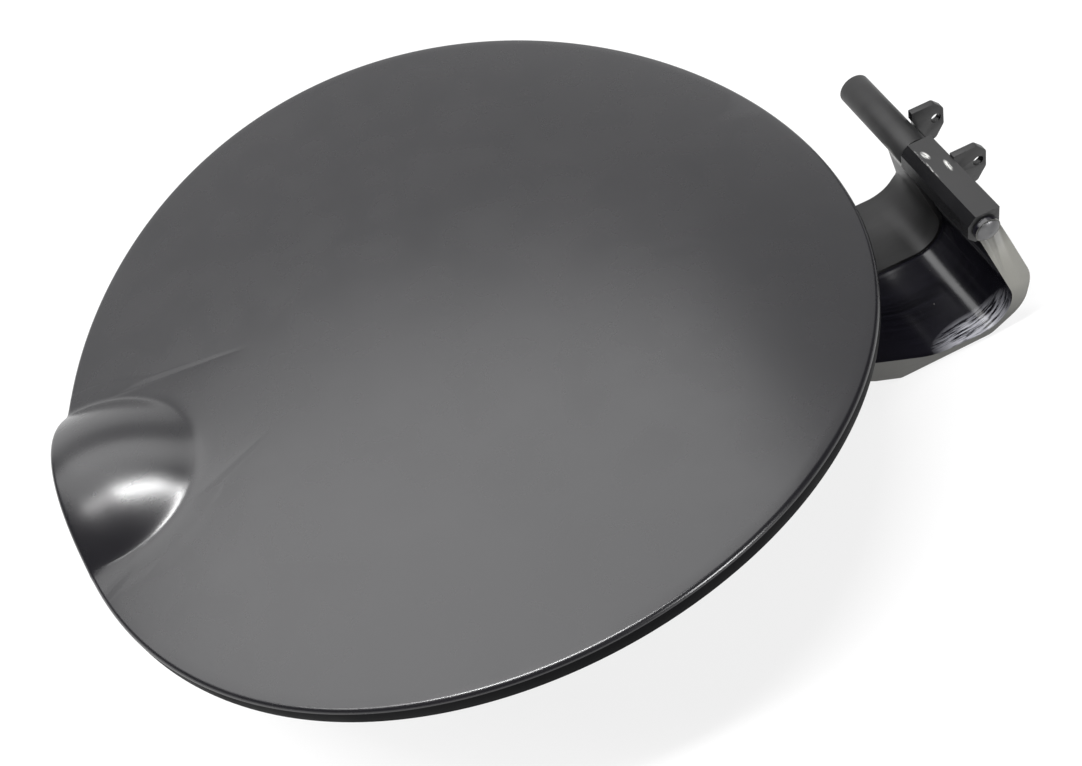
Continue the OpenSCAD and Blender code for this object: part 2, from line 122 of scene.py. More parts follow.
# Lights
# Two large soft boxes behind the door, the higher one brighter, are what the satin panel
# mirrors, with a pale card at the horizon. A strip and its dimmer end light the grip, and a
# small low lamp in front draws the line of light along the rim.
door_centre = Vector((-0.1202, 0.0031, 0.0204))
for name, direction, distance, wide, deep, watts in (
        ("low_soft_box", (0.10, 0.72, 0.69), 1.2, 2.4, 1.15, 6.2),
        ("high_soft_box", (-0.26, 0.45, 0.89), 1.2, 2.0, 0.78, 12.0),
        ("horizon_card", (0.0, 0.985, 0.16), 1.6, 3.0, 0.6, 6.5),
        ("overhead_strip", (-0.19, -0.13, 0.98), 0.8, 0.46, 0.06, 7.2),
        ("strip_end", (-0.60, -0.10, 0.79), 0.8, 0.40, 0.09, 1.5),
        ("front_lamp", (0.5, -0.82, 0.34), 0.9, 0.24, 0.16, 4.5)):
    lamp_data = bpy.data.lights.new(name, "AREA")
    lamp_data.shape = "RECTANGLE"
    lamp_data.size = wide
    lamp_data.size_y = deep
    lamp_data.energy = watts
    lamp = bpy.data.objects.new(name, lamp_data)
    bpy.context.collection.objects.link(lamp)
    back = Vector(direction).normalized()
    level = Vector((1, 0, 0)) - back.x * back
    level.normalize()
    turn = Matrix((level, back.cross(level), back)).transposed().to_4x4()
    lamp.matrix_world = Matrix.Translation(door_centre + distance * back) @ turn
world = bpy.data.worlds.new("studio")
world.use_nodes = True
world.node_tree.nodes["Background"].inputs["Color"].default_value = (0.10, 0.10, 0.105, 1)
world.node_tree.nodes["Background"].inputs["Strength"].default_value = 1.0
bpy.context.scene.world = world


# Door skin
# One deep-drawn sheet, 0.8 mm thick: a crowned round panel, an oval finger grip raised at
# its edge and cut by the rim, and a hem folded in over the inner panel. Black electro-coat.
skin_low, skin_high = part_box("door_skin")
door_r = (skin_high.y - skin_low.y) / 2
sheet = 0.0008
crown_turn = radians(7.3)
crown_r_across = 0.329
crown_r_along = 2.045
grip_turn = radians(-28.8)
grip_mid = (-0.0846, 0.0016)
grip_half_l = 0.029
grip_half_w = 0.021
grip_h = 0.01017
grip_set = 0.0023
foot_blend = 0.10
rim_fillet = 0.0010
rim_depth = 0.0045
hem_w = 0.007
hem_w_at_grip = 0.0014
hem_fade = 0.17
hem_bend = 0.0006
foot_steps = (-0.004, -0.0020, -0.0014, -0.0010, -0.0007, -0.0004, -0.0001, 0.0002, 0.0005, 0.0008)
rings_over_grip = 16
fillet_points = 8
plain_ring = 0.007
ring_band_least = 0.0015
ring_band_past_grip = 0.0145
ring_band_middle = 0.0725
directions_by_grip = 260
directions_elsewhere = 250


def crown(x, y):
    across = x * cos(crown_turn) + y * sin(crown_turn)
    along = y * cos(crown_turn) - x * sin(crown_turn)
    return -across ** 2 / (2 * crown_r_across) - along ** 2 / (2 * crown_r_along)


def grip_rho2(x, y):
    dx = x - grip_mid[0]
    dy = y - grip_mid[1]
    lengthwise = (dx * cos(grip_turn) + dy * sin(grip_turn)) / grip_half_l
    widthwise = (dy * cos(grip_turn) - dx * sin(grip_turn)) / grip_half_w
    return lengthwise ** 2 + widthwise ** 2


def grip_share(x, y):
    # The dome's height share, with a small radius instead of a sharp foot
    over = 1 - grip_rho2(x, y)
    return (over + sqrt(over ** 2 + foot_blend ** 2)) / 2 if over > -0.6 else 0.0


def grip_crossing(angle):
    # Distances at which a line from the door's centre crosses the oval, or comes nearest to it
    c = cos(angle - grip_turn) / grip_half_l
    s = sin(angle - grip_turn) / grip_half_w
    u = (grip_mid[0] * cos(grip_turn) + grip_mid[1] * sin(grip_turn)) / grip_half_l
    v = (grip_mid[1] * cos(grip_turn) - grip_mid[0] * sin(grip_turn)) / grip_half_w
    nearest = (c * u + s * v) / (c * c + s * s)
    square = nearest ** 2 - (u * u + v * v - 1) / (c * c + s * s)
    crosses = square > 0 and cos(angle) < 0
    half = sqrt(square) if crosses else min(ring_band_past_grip, sqrt(abs(square)))
    half = max(ring_band_least, half)
    nearest = max(ring_band_middle, nearest)
    return nearest - half, nearest + half


def skin_profile(angle):
    # (distance from the centre, depth under the crowned surface) from the centre out and back
    rim_x, rim_y = door_r * cos(angle), door_r * sin(angle)
    share_at_rim = max(0.0, 1 - grip_rho2(rim_x, rim_y)) if rim_x < 0 else 0.0
    r1 = door_r - grip_set * share_at_rim
    foot, far = grip_crossing(angle)
    far = min(far, r1 - rim_fillet - 0.0005)
    start = foot + foot_steps[-1]
    rings = [plain_ring * k for k in range(1, 8)] + [foot + step for step in foot_steps]
    rings += [start + (far - start) * k / rings_over_grip for k in range(1, rings_over_grip + 1)]
    steps = [(r, 0.0) for r in rings]
    steps += [(r1 - rim_fillet + rim_fillet * sin(t), rim_fillet * (1 - cos(t)))
              for t in (radians(90 * k / (fillet_points - 1)) for k in range(fillet_points))]
    steps += [(r1, rim_fillet + 0.0012), (r1, rim_depth - hem_bend)]
    steps += [(r1 - hem_bend + hem_bend * cos(t), rim_depth - hem_bend + hem_bend * sin(t))
              for t in (radians(30), radians(60), radians(90))]
    nearness = max(0.0, min(1.0, 1 - (grip_rho2(rim_x, rim_y) - 1) / hem_fade)) if rim_x < 0 else 0.0
    width = hem_w + (hem_w_at_grip - hem_w) * nearness
    steps += [(r1 - width + 0.0003, rim_depth), (r1 - width, rim_depth - 0.0003)]
    steps += [(r1 - width, rim_depth - sheet + 0.0001), (r1 - width + 0.0002, rim_depth - sheet)]
    steps += [(r1 - sheet, rim_depth - sheet), (r1 - sheet, rim_fillet + 0.0003)]
    steps += [(r1 - 0.0012, sheet + 0.0002), (r1 - 0.0018, sheet)]
    steps += [(r, sheet) for r in reversed(rings[::2])]
    return steps


# The directions lie closest together across the grip
dense_from, dense_to = radians(159), radians(201)
angles = [dense_from + (dense_to - dense_from) * k / directions_by_grip
          for k in range(directions_by_grip)]
angles += [dense_to + (2 * pi + dense_from - dense_to) * k / directions_elsewhere
           for k in range(directions_elsewhere)]
profiles = [skin_profile(angle) for angle in angles]
skin_mesh = bpy.data.meshes.new("skin_sheet")
points = []
for angle, profile in zip(angles, profiles):
    for r, depth in profile:
        x, y = r * cos(angle), r * sin(angle)
        points.append(door_centre + Vector((x, y, crown(x, y) + grip_h * grip_share(x, y) - depth)))
count, rows = len(angles), len(profiles[0])
faces = []
for i in range(count):
    here, there = i * rows, (i + 1) % count * rows
    faces += [(here + k, here + k + 1, there + k + 1, there + k) for k in range(rows - 1)]
points += [door_centre, door_centre - Vector((0, 0, sheet))]
faces += [(count * rows, i * rows, (i + 1) % count * rows) for i in range(count)]
faces += [(count * rows + 1, (i + 1) % count * rows + rows - 1, i * rows + rows - 1)
          for i in range(count)]
skin_mesh.from_pydata([tuple(p) for p in points], [], faces)
skin_mesh.shade_smooth()
skin = bpy.data.objects.new("skin_sheet", skin_mesh)
bpy.context.collection.objects.link(skin)


def e_coat(name, dark, light, rough_low, rough_high, peel_depth, dust):
    """Dipped primer: two close tones in clouds, a fine orange peel and a little pale dust."""
    material = bpy.data.materials.new(name)
    material.use_nodes = True
    tree = material.node_tree
    shader = tree.nodes["Principled BSDF"]
    place = tree.nodes.new("ShaderNodeTexCoord")
    clouds = tree.nodes.new("ShaderNodeTexNoise")
    clouds.inputs["Scale"].default_value = 28
    clouds.inputs["Detail"].default_value = 6
    tones = tree.nodes.new("ShaderNodeValToRGB")
    tones.color_ramp.elements[0].position = 0.35
    tones.color_ramp.elements[0].color = (*dark, 1)
    tones.color_ramp.elements[1].position = 0.68
    tones.color_ramp.elements[1].color = (*light, 1)
    grains = tree.nodes.new("ShaderNodeTexVoronoi")
    grains.inputs["Scale"].default_value = 420
    specks = tree.nodes.new("ShaderNodeMapRange")
    specks.inputs["From Min"].default_value = 0.075
    specks.inputs["From Max"].default_value = 0.03
    chance = tree.nodes.new("ShaderNodeMath")
    chance.operation = "GREATER_THAN"
    chance.inputs[1].default_value = 1 - dust
    dusty = tree.nodes.new("ShaderNodeMath")
    dusty.operation = "MULTIPLY"
    dusted = tree.nodes.new("ShaderNodeMix")
    dusted.data_type = "RGBA"
    dusted.inputs["B"].default_value = (0.22, 0.215, 0.20, 1)
    wipes = tree.nodes.new("ShaderNodeTexNoise")
    wipes.inputs["Scale"].default_value = 90
    wipes.inputs["Detail"].default_value = 8
    gloss = tree.nodes.new("ShaderNodeMapRange")
    gloss.inputs["From Min"].default_value = 0.3
    gloss.inputs["From Max"].default_value = 0.7
    gloss.inputs["To Min"].default_value = rough_low
    gloss.inputs["To Max"].default_value = rough_high
    peel = tree.nodes.new("ShaderNodeTexNoise")
    peel.inputs["Scale"].default_value = 700
    peel.inputs["Detail"].default_value = 2
    bump = tree.nodes.new("ShaderNodeBump")
    bump.inputs["Distance"].default_value = peel_depth
    bump.inputs["Strength"].default_value = 1.0
    for texture in (clouds, grains, wipes, peel):
        tree.links.new(place.outputs["Object"], texture.inputs["Vector"])
    tree.links.new(clouds.outputs["Fac"], tones.inputs["Fac"])
    tree.links.new(grains.outputs["Distance"], specks.inputs["Value"])
    tree.links.new(grains.outputs["Color"], chance.inputs[0])
    tree.links.new(specks.outputs["Result"], dusty.inputs[0])
    tree.links.new(chance.outputs[0], dusty.inputs[1])
    tree.links.new(dusty.outputs[0], dusted.inputs["Factor"])
    tree.links.new(tones.outputs["Color"], dusted.inputs["A"])
    tree.links.new(dusted.outputs["Result"], shader.inputs["Base Color"])
    tree.links.new(wipes.outputs["Fac"], gloss.inputs["Value"])
    tree.links.new(gloss.outputs["Result"], shader.inputs["Roughness"])
    tree.links.new(peel.outputs["Fac"], bump.inputs["Height"])
    tree.links.new(bump.outputs["Normal"], shader.inputs["Normal"])
    shader.inputs["IOR"].default_value = 1.6
    return material


# Faces that look less upward than this belong to the rim, the hem or the inside, and are painted shade: a
# darker, nearly unreflecting copy of the coat
rim_shade_face_up = 0.3
skin_mesh.materials.append(e_coat(
    "outer_e_coat", (0.0045, 0.0043, 0.0058), (0.0075, 0.0070, 0.0086), 0.25, 0.29, 0.000004, 0.04))
# Painted shade: a darker, duller copy of the outer coat for the rim, hem and inside
rim_shade_coat = e_coat(
    "rim_painted_shade_coat", (0.0020, 0.0020, 0.0024), (0.0034, 0.0034, 0.0040), 0.50, 0.60, 0.000008, 0.04)
rim_shade_coat.node_tree.nodes["Principled BSDF"].inputs["Specular IOR Level"].default_value = 0.02
skin_mesh.materials.append(rim_shade_coat)
for face in skin_mesh.polygons:
    face.material_index = int(face.normal.z < rim_shade_face_up)
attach(skin, "door")
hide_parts("door_skin")


# Inner panel
# A second sheet, clamped by the skin's hem. It is dished for stiffness and has flat pressed
# seats for the hinge's foot, the catch and the two buffers. The same dipped coat, duller.
arm_rivet_low, arm_rivet_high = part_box("arm_rivets")
catch_rivet_low, catch_rivet_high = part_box("catch_rivets")
buffer_low, buffer_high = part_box("rest_buffers")
rivet_tail_h = 0.001
buffer_r = (buffer_high.x - buffer_low.x) / 2
buffer_places = [((buffer_low.x + buffer_high.x) / 2, y)
                 for y in (buffer_low.y + buffer_r, buffer_high.y - buffer_r)]
buffer_seat_h = 0.0071
dish = 0.004
panel_gap = 0.00015
panel_r = door_r - sheet - 0.0004
panel_drop = rim_depth - sheet - panel_gap
ramp = 0.007
panel_directions = 200
panel_ring = 0.0015


def middle(low, high):
    return (low.x + high.x) / 2, (low.y + high.y) / 2


# Centre, half lengths, height of the underside and flat margin of each seat
seats = [(middle(arm_rivet_low, arm_rivet_high), (0.015, 0.014),
          arm_rivet_high.z - rivet_tail_h - sheet, 0.004),
         (middle(catch_rivet_low, catch_rivet_high), (0.006, 0.009),
          catch_rivet_high.z - rivet_tail_h - sheet, 0.003)]
seats += [(place, (buffer_r, buffer_r), buffer_low.z + buffer_seat_h, 0.003) for place in buffer_places]


def ease(t):
    t = max(0.0, min(1.0, t))
    return t * t * (3 - 2 * t)


def panel_underside(x, y):
    # Height at a place measured from the door's centre
    r = hypot(x, y)
    z = door_centre.z + crown(x, y) - panel_drop - sheet
    z -= dish * ease((door_r - hem_w - 0.001 - r) / ramp)
    inside_hem = ease((door_r - hem_w - 0.0005 - r) / (ramp / 2))
    for (seat_x, seat_y), (half_x, half_y), height, margin in seats:
        beyond_x = max(0.0, abs(x + door_centre.x - seat_x) - half_x)
        beyond_y = max(0.0, abs(y + door_centre.y - seat_y) - half_y)
        z += (height - z) * inside_hem * (1 - ease((hypot(beyond_x, beyond_y) - margin) / ramp))
    return z


panel_rings = [panel_ring * k for k in range(1, 59)] + [panel_r - 0.0004, panel_r]
points = []
for r in panel_rings:
    for k in range(panel_directions):
        x, y = r * cos(2 * pi * k / panel_directions), r * sin(2 * pi * k / panel_directions)
        points.append((x + door_centre.x, y + door_centre.y, panel_underside(x, y)))
under_count = len(points)
points += [(x, y, z + sheet) for x, y, z in points]
faces = []
for i in range(len(panel_rings) - 1):
    for k in range(panel_directions):
        a, b = i * panel_directions + k, i * panel_directions + (k + 1) % panel_directions
        faces.append((a, b, b + panel_directions, a + panel_directions))
        faces.append(tuple(under_count + j for j in (a, a + panel_directions, b + panel_directions, b)))
last = under_count - panel_directions
for k in range(panel_directions):
    a, b = k, (k + 1) % panel_directions
    faces.append((last + a, last + b, last + under_count + b, last + under_count + a))
    faces.append((2 * under_count, b, a))
    faces.append((2 * under_count + 1, under_count + a, under_count + b))
points += [(door_centre.x, door_centre.y, panel_underside(0, 0)),
           (door_centre.x, door_centre.y, panel_underside(0, 0) + sheet)]
panel_mesh = bpy.data.meshes.new("inner_sheet")
panel_mesh.from_pydata(points, [], faces)
panel_mesh.shade_smooth()
panel_mesh.materials.append(
    e_coat("inner_e_coat", (0.012, 0.012, 0.013), (0.022, 0.0215, 0.022), 0.34, 0.46, 0.00002, 0.12))
inner_sheet = bpy.data.objects.new("inner_sheet", panel_mesh)
bpy.context.collection.objects.link(inner_sheet)
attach(inner_sheet, "door")
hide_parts("inner_panel")


# Hinge arm
# A gooseneck pressed from 1.2 mm sheet, with a web and two side walls. Its outer corners are
# bent, not sharp. Glossy black coat over draw lines, rubbed pale at the base's near edge, and on
# the near wall outside a satin copy with a little dust, painted lighter and paler towards the pin.
def pressed_copy(node, name, broken_edge, bent_edge=0.0, smooth_under=32):
    # The CAD solid, merged, with its sharp edges broken and its outer side corners bent round
    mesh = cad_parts[node].data.copy()
    mesh.name = name
    mesh.materials.clear()
    piece = bpy.data.objects.new(name, mesh)
    bpy.context.collection.objects.link(piece)
    shape = bmesh.new()
    shape.from_mesh(mesh)
    bmesh.ops.remove_doubles(shape, verts=shape.verts, dist=2e-6)
    bmesh.ops.dissolve_limit(shape, angle_limit=radians(0.6), verts=shape.verts, edges=shape.edges)
    corner = radians(smooth_under)
    sharp = [e for e in shape.edges if len(e.link_faces) == 2 and e.calc_face_angle() > corner]
    if bent_edge:
        near_y = min(v.co.y for v in shape.verts)
        bent = [e for e in sharp if all(abs(v.co.y - near_y) < 1e-5 for v in e.verts)
                and e.calc_face_angle_signed() > 0 and e.calc_length() > 0.0003
                and any(arm_inside(f) for f in e.link_faces)]
        bmesh.ops.bevel(shape, geom=bent, offset=bent_edge, segments=5, profile=0.5,
                        affect="EDGES", clamp_overlap=True)
        sharp = [e for e in shape.edges if e.is_valid and len(e.link_faces) == 2
                 and e.calc_face_angle() > corner]
    for f in shape.faces:
        f.material_index = int(all(e.calc_face_angle(0.0) > corner for e in f.edges))
    bmesh.ops.bevel(shape, geom=sharp, offset=broken_edge, segments=2, profile=0.5, material=0,
                    affect="EDGES", clamp_overlap=True)
    shape.normal_update()
    for e in shape.edges:
        e.smooth = len(e.link_faces) == 2 and e.calc_face_angle() < corner
    for f in shape.faces:
        f.smooth = f.material_index == 0
        f.material_index = 0
    shape.to_mesh(mesh)
    shape.free()
    return piece


def arm_inside(face):
    # The throat face of the web, which looks up or towards the door, never along the hinge
    centre = face.calc_center_median()
    return abs(face.normal.y) < 0.1 and face.normal.z - face.normal.x > 0.2 and centre.x < 0.001


def draw_lines(material, across, along, depth, darkest):
    # Fine lines left by the press tool, running along the arm
    tree = material.node_tree
    shader = tree.nodes["Principled BSDF"]
    place = tree.nodes.new("ShaderNodeTexCoord")
    stretch = tree.nodes.new("ShaderNodeMapping")
    stretch.vector_type = "TEXTURE"
    stretch.inputs["Scale"].default_value = (along, across, along)
    lines = tree.nodes.new("ShaderNodeTexNoise")
    lines.inputs["Scale"].default_value = 1.0
    lines.inputs["Detail"].default_value = 5
    tone = tree.nodes.new("ShaderNodeMapRange")
    tone.inputs["From Min"].default_value = 0.3
    tone.inputs["From Max"].default_value = 0.7
    tone.inputs["To Min"].default_value = darkest
    tone.inputs["To Max"].default_value = 1.5
    shade = tree.nodes.new("ShaderNodeVectorMath")
    shade.operation = "SCALE"
    groove = tree.nodes.new("ShaderNodeBump")
    groove.inputs["Distance"].default_value = depth
    tree.links.new(place.outputs["Object"], stretch.inputs["Vector"])
    tree.links.new(stretch.outputs["Vector"], lines.inputs["Vector"])
    tree.links.new(lines.outputs["Fac"], tone.inputs["Value"])
    tree.links.new(shader.inputs["Base Color"].links[0].from_socket, shade.inputs[0])
    tree.links.new(tone.outputs["Result"], shade.inputs["Scale"])
    tree.links.new(shade.outputs["Vector"], shader.inputs["Base Color"])
    tree.links.new(lines.outputs["Fac"], groove.inputs["Height"])
    tree.links.new(shader.inputs["Normal"].links[0].from_socket, groove.inputs["Normal"])
    tree.links.new(groove.outputs["Normal"], shader.inputs["Normal"])


def scratches_and_painted_light(material, centre, reach, turn, grain, least, colour):
    # Pale scratches in an oval patch that fades out towards its edge; with a low threshold it is an even
    # pale patch, used as painted light
    tree = material.node_tree
    shader = tree.nodes["Principled BSDF"]
    place = tree.nodes.new("ShaderNodeTexCoord")
    patch = tree.nodes.new("ShaderNodeMapping")
    patch.vector_type = "TEXTURE"
    patch.inputs["Location"].default_value = centre
    patch.inputs["Rotation"].default_value = turn
    patch.inputs["Scale"].default_value = reach
    radius = tree.nodes.new("ShaderNodeVectorMath")
    radius.operation = "LENGTH"
    fade = tree.nodes.new("ShaderNodeMapRange")
    fade.inputs["From Min"].default_value = 1.0
    fade.inputs["From Max"].default_value = 0.45
    streak_place = tree.nodes.new("ShaderNodeMapping")
    streak_place.vector_type = "TEXTURE"
    streak_place.inputs["Rotation"].default_value = turn
    streak_place.inputs["Scale"].default_value = grain
    streaks = tree.nodes.new("ShaderNodeTexNoise")
    streaks.inputs["Scale"].default_value = 1.0
    streaks.inputs["Detail"].default_value = 7
    streaks.inputs["Roughness"].default_value = 0.65
    strong = tree.nodes.new("ShaderNodeMapRange")
    strong.inputs["From Min"].default_value = least
    strong.inputs["From Max"].default_value = least + 0.12
    amount = tree.nodes.new("ShaderNodeMath")
    amount.operation = "MULTIPLY"
    worn = tree.nodes.new("ShaderNodeMix")
    worn.data_type = "RGBA"
    worn.inputs["B"].default_value = (*colour, 1)
    tree.links.new(place.outputs["Object"], patch.inputs["Vector"])
    tree.links.new(place.outputs["Object"], streak_place.inputs["Vector"])
    tree.links.new(patch.outputs["Vector"], radius.inputs[0])
    tree.links.new(radius.outputs["Value"], fade.inputs["Value"])
    tree.links.new(streak_place.outputs["Vector"], streaks.inputs["Vector"])
    tree.links.new(streaks.outputs["Fac"], strong.inputs["Value"])
    tree.links.new(fade.outputs["Result"], amount.inputs[0])
    tree.links.new(strong.outputs["Result"], amount.inputs[1])
    tree.links.new(amount.outputs[0], worn.inputs["Factor"])
    tree.links.new(shader.inputs["Base Color"].links[0].from_socket, worn.inputs["A"])
    tree.links.new(worn.outputs["Result"], shader.inputs["Base Color"])


arm_low, arm_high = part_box("hinge_arm")
arm_coat = e_coat(
    "arm_e_coat", (0.0040, 0.0038, 0.0058), (0.0085, 0.0080, 0.0115), 0.16, 0.24, 0.000008, 0.16)
draw_lines(arm_coat, 0.0011, 0.03, 0.00003, 0.5)
scratches_and_painted_light(arm_coat, (-0.0115, arm_low.y + 0.0015, arm_low.z + 0.0045), (0.0115, 0.0055, 0.010),
          (0, 0, radians(6)), (0.006, 0.0006, 0.006), 0.41, (0.34, 0.34, 0.37))
wall_face_depth = 0.0008
wall_face_y = -0.3
# Painted light: the near wall's outer face gets a lighter copy of the arm's coat
near_wall_lit_coat = e_coat(
    "near_wall_painted_light_coat", (0.040, 0.040, 0.036), (0.062, 0.061, 0.055), 0.42, 0.52, 0.00001, 0.1)
# Painted light: an even pale haze over the near wall, strongest towards the pin
scratches_and_painted_light(near_wall_lit_coat, (-0.001, arm_low.y, -0.014), (0.02, 0.004, 0.018), (0, 0, 0),
          (0.02, 0.02, 0.02), -0.2, (0.17, 0.167, 0.148))
arm = pressed_copy("hinge_arm", "gooseneck", 0.00018, bent_edge=0.0009)
arm.data.materials.append(arm_coat)
arm.data.materials.append(near_wall_lit_coat)
for face in arm.data.polygons:
    outer = all(arm.data.vertices[k].co.y < arm_low.y + wall_face_depth for k in face.vertices)
    face.material_index = int(outer and face.normal.y < wall_face_y)
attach(arm, "door")
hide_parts("hinge_arm")


# Leaf and barrel
# The leaf lies on the arm's throat face and is rolled round the pin into the hinge barrel.
# Satin dark grey coat, thinner than the arm's, with a bright patch beside the block that is a painted
# highlight.
leaf_coat = e_coat(
    "leaf_e_coat", (0.011, 0.011, 0.0112), (0.017, 0.0168, 0.017), 0.40, 0.48, 0.00001, 0.08)
leaf_coat.node_tree.nodes["Principled BSDF"].inputs["Specular IOR Level"].default_value = 0.24
draw_lines(leaf_coat, 0.004, 0.02, 0.00001, 0.85)
# Painted highlight: a bright streaky patch on the leaf beside the block
scratches_and_painted_light(leaf_coat, (-0.0122, 0.0055, -0.0045), (0.0045, 0.005, 0.005), (0, 0, 0),
          (0.003, 0.003, 0.003), 0.30, (0.50, 0.50, 0.48))
leaf = pressed_copy("barrel_leaf", "rolled_leaf", 0.0002)
leaf.data.materials.append(leaf_coat)
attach(leaf, "door")
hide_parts("barrel_leaf")


# Rivets
# Six steel rivets clamp the hinge's foot and the catch to the inner panel, each with a low
# domed head below and a tail set over above. Dark coated steel in two close tones.
rivet_head_r = 0.003
rivet_head_h = 0.001
rivet_tail_r = 0.0024
rivet_shank_r = 0.0016


def plain_steel(name, dark, light, metallic, rough_low, rough_high, mark_scale, mark_depth):
    material = bpy.data.materials.new(name)
    material.use_nodes = True
    tree = material.node_tree
    shader = tree.nodes["Principled BSDF"]
    shader.inputs["Metallic"].default_value = metallic
    place = tree.nodes.new("ShaderNodeTexCoord")
    clouds = tree.nodes.new("ShaderNodeTexNoise")
    clouds.inputs["Scale"].default_value = 260
    clouds.inputs["Detail"].default_value = 6
    tones = tree.nodes.new("ShaderNodeValToRGB")
    tones.color_ramp.elements[0].position = 0.35
    tones.color_ramp.elements[0].color = (*dark, 1)
    tones.color_ramp.elements[1].position = 0.65
    tones.color_ramp.elements[1].color = (*light, 1)
    gloss = tree.nodes.new("ShaderNodeMapRange")
    gloss.inputs["From Min"].default_value = 0.3
    gloss.inputs["From Max"].default_value = 0.7
    gloss.inputs["To Min"].default_value = rough_low
    gloss.inputs["To Max"].default_value = rough_high
    marks = tree.nodes.new("ShaderNodeTexNoise")
    marks.inputs["Scale"].default_value = mark_scale
    marks.inputs["Detail"].default_value = 4
    bump = tree.nodes.new("ShaderNodeBump")
    bump.inputs["Distance"].default_value = mark_depth
    for texture in (clouds, marks):
        tree.links.new(place.outputs["Object"], texture.inputs["Vector"])
    tree.links.new(clouds.outputs["Fac"], tones.inputs["Fac"])
    tree.links.new(tones.outputs["Color"], shader.inputs["Base Color"])
    tree.links.new(marks.outputs["Fac"], gloss.inputs["Value"])
    tree.links.new(gloss.outputs["Result"], shader.inputs["Roughness"])
    tree.links.new(marks.outputs["Fac"], bump.inputs["Height"])
    tree.links.new(bump.outputs["Normal"], shader.inputs["Normal"])
    return material


def input_socket(tree, label, value):
    socket = tree.interface.new_socket(label, in_out="INPUT", socket_type="NodeSocketFloat")
    socket.default_value = value
    return socket.identifier


rivet_steel = plain_steel(
    "rivet_steel", (0.10, 0.10, 0.10), (0.20, 0.195, 0.19), 0.85, 0.32, 0.5, 900, 0.00002)
rivet_tree = bpy.data.node_groups.new("rivets", "GeometryNodeTree")
rivet_tree.interface.new_socket("Places", in_out="INPUT", socket_type="NodeSocketGeometry")
rivet_inputs = {label: input_socket(rivet_tree, label, value) for label, value in (
    ("Head radius", rivet_head_r), ("Head height", rivet_head_h), ("Tail radius", rivet_tail_r),
    ("Tail height", rivet_tail_h), ("Shank radius", rivet_shank_r), ("Clamped thickness", 0.002))}
rivet_tree.interface.new_socket("Rivets", in_out="OUTPUT", socket_type="NodeSocketGeometry")
given = rivet_tree.nodes.new("NodeGroupInput")
made = rivet_tree.nodes.new("NodeGroupOutput")
parts = rivet_tree.nodes.new("GeometryNodeJoinGeometry")
for end, radius, height, limit in (("head", "Head radius", "Head height", "MINIMUM"),
                                   ("tail", "Tail radius", "Tail height", "MAXIMUM")):
    ball = rivet_tree.nodes.new("GeometryNodeMeshUVSphere")
    ball.inputs["Segments"].default_value = 28
    ball.inputs["Rings"].default_value = 14
    ball.inputs["Radius"].default_value = 1.0
    where = rivet_tree.nodes.new("GeometryNodeInputPosition")
    split = rivet_tree.nodes.new("ShaderNodeSeparateXYZ")
    flat = rivet_tree.nodes.new("ShaderNodeMath")
    flat.operation = limit
    flat.inputs[1].default_value = 0.0
    back = rivet_tree.nodes.new("ShaderNodeCombineXYZ")
    press = rivet_tree.nodes.new("GeometryNodeSetPosition")
    size = rivet_tree.nodes.new("ShaderNodeCombineXYZ")
    lift = rivet_tree.nodes.new("ShaderNodeCombineXYZ")
    place = rivet_tree.nodes.new("GeometryNodeTransform")
    rivet_tree.links.new(ball.outputs["Mesh"], press.inputs["Geometry"])
    rivet_tree.links.new(where.outputs[0], split.inputs[0])
    rivet_tree.links.new(split.outputs["X"], back.inputs["X"])
    rivet_tree.links.new(split.outputs["Y"], back.inputs["Y"])
    rivet_tree.links.new(split.outputs["Z"], flat.inputs[0])
    rivet_tree.links.new(flat.outputs[0], back.inputs["Z"])
    rivet_tree.links.new(back.outputs[0], press.inputs["Position"])
    rivet_tree.links.new(given.outputs[radius], size.inputs["X"])
    rivet_tree.links.new(given.outputs[radius], size.inputs["Y"])
    rivet_tree.links.new(given.outputs[height], size.inputs["Z"])
    if end == "tail":
        rivet_tree.links.new(given.outputs["Clamped thickness"], lift.inputs["Z"])
    rivet_tree.links.new(press.outputs["Geometry"], place.inputs["Geometry"])
    rivet_tree.links.new(size.outputs[0], place.inputs["Scale"])
    rivet_tree.links.new(lift.outputs[0], place.inputs["Translation"])
    rivet_tree.links.new(place.outputs["Geometry"], parts.inputs["Geometry"])
shank = rivet_tree.nodes.new("GeometryNodeMeshCylinder")
shank.inputs["Vertices"].default_value = 28
half = rivet_tree.nodes.new("ShaderNodeMath")
half.operation = "MULTIPLY"
half.inputs[1].default_value = 0.5
raised = rivet_tree.nodes.new("ShaderNodeCombineXYZ")
standing = rivet_tree.nodes.new("GeometryNodeTransform")
rivet_tree.links.new(given.outputs["Shank radius"], shank.inputs["Radius"])
rivet_tree.links.new(given.outputs["Clamped thickness"], shank.inputs["Depth"])
rivet_tree.links.new(given.outputs["Clamped thickness"], half.inputs[0])
rivet_tree.links.new(half.outputs[0], raised.inputs["Z"])
rivet_tree.links.new(shank.outputs["Mesh"], standing.inputs["Geometry"])
rivet_tree.links.new(raised.outputs[0], standing.inputs["Translation"])
rivet_tree.links.new(standing.outputs["Geometry"], parts.inputs["Geometry"])
on_places = rivet_tree.nodes.new("GeometryNodeInstanceOnPoints")
real = rivet_tree.nodes.new("GeometryNodeRealizeInstances")
coat = rivet_tree.nodes.new("GeometryNodeSetMaterial")
coat.inputs["Material"].default_value = rivet_steel
rivet_tree.links.new(given.outputs["Places"], on_places.inputs["Points"])
rivet_tree.links.new(parts.outputs[0], on_places.inputs["Instance"])
rivet_tree.links.new(on_places.outputs[0], real.inputs["Geometry"])
rivet_tree.links.new(real.outputs[0], coat.inputs["Geometry"])
rivet_tree.links.new(coat.outputs[0], made.inputs["Rivets"])


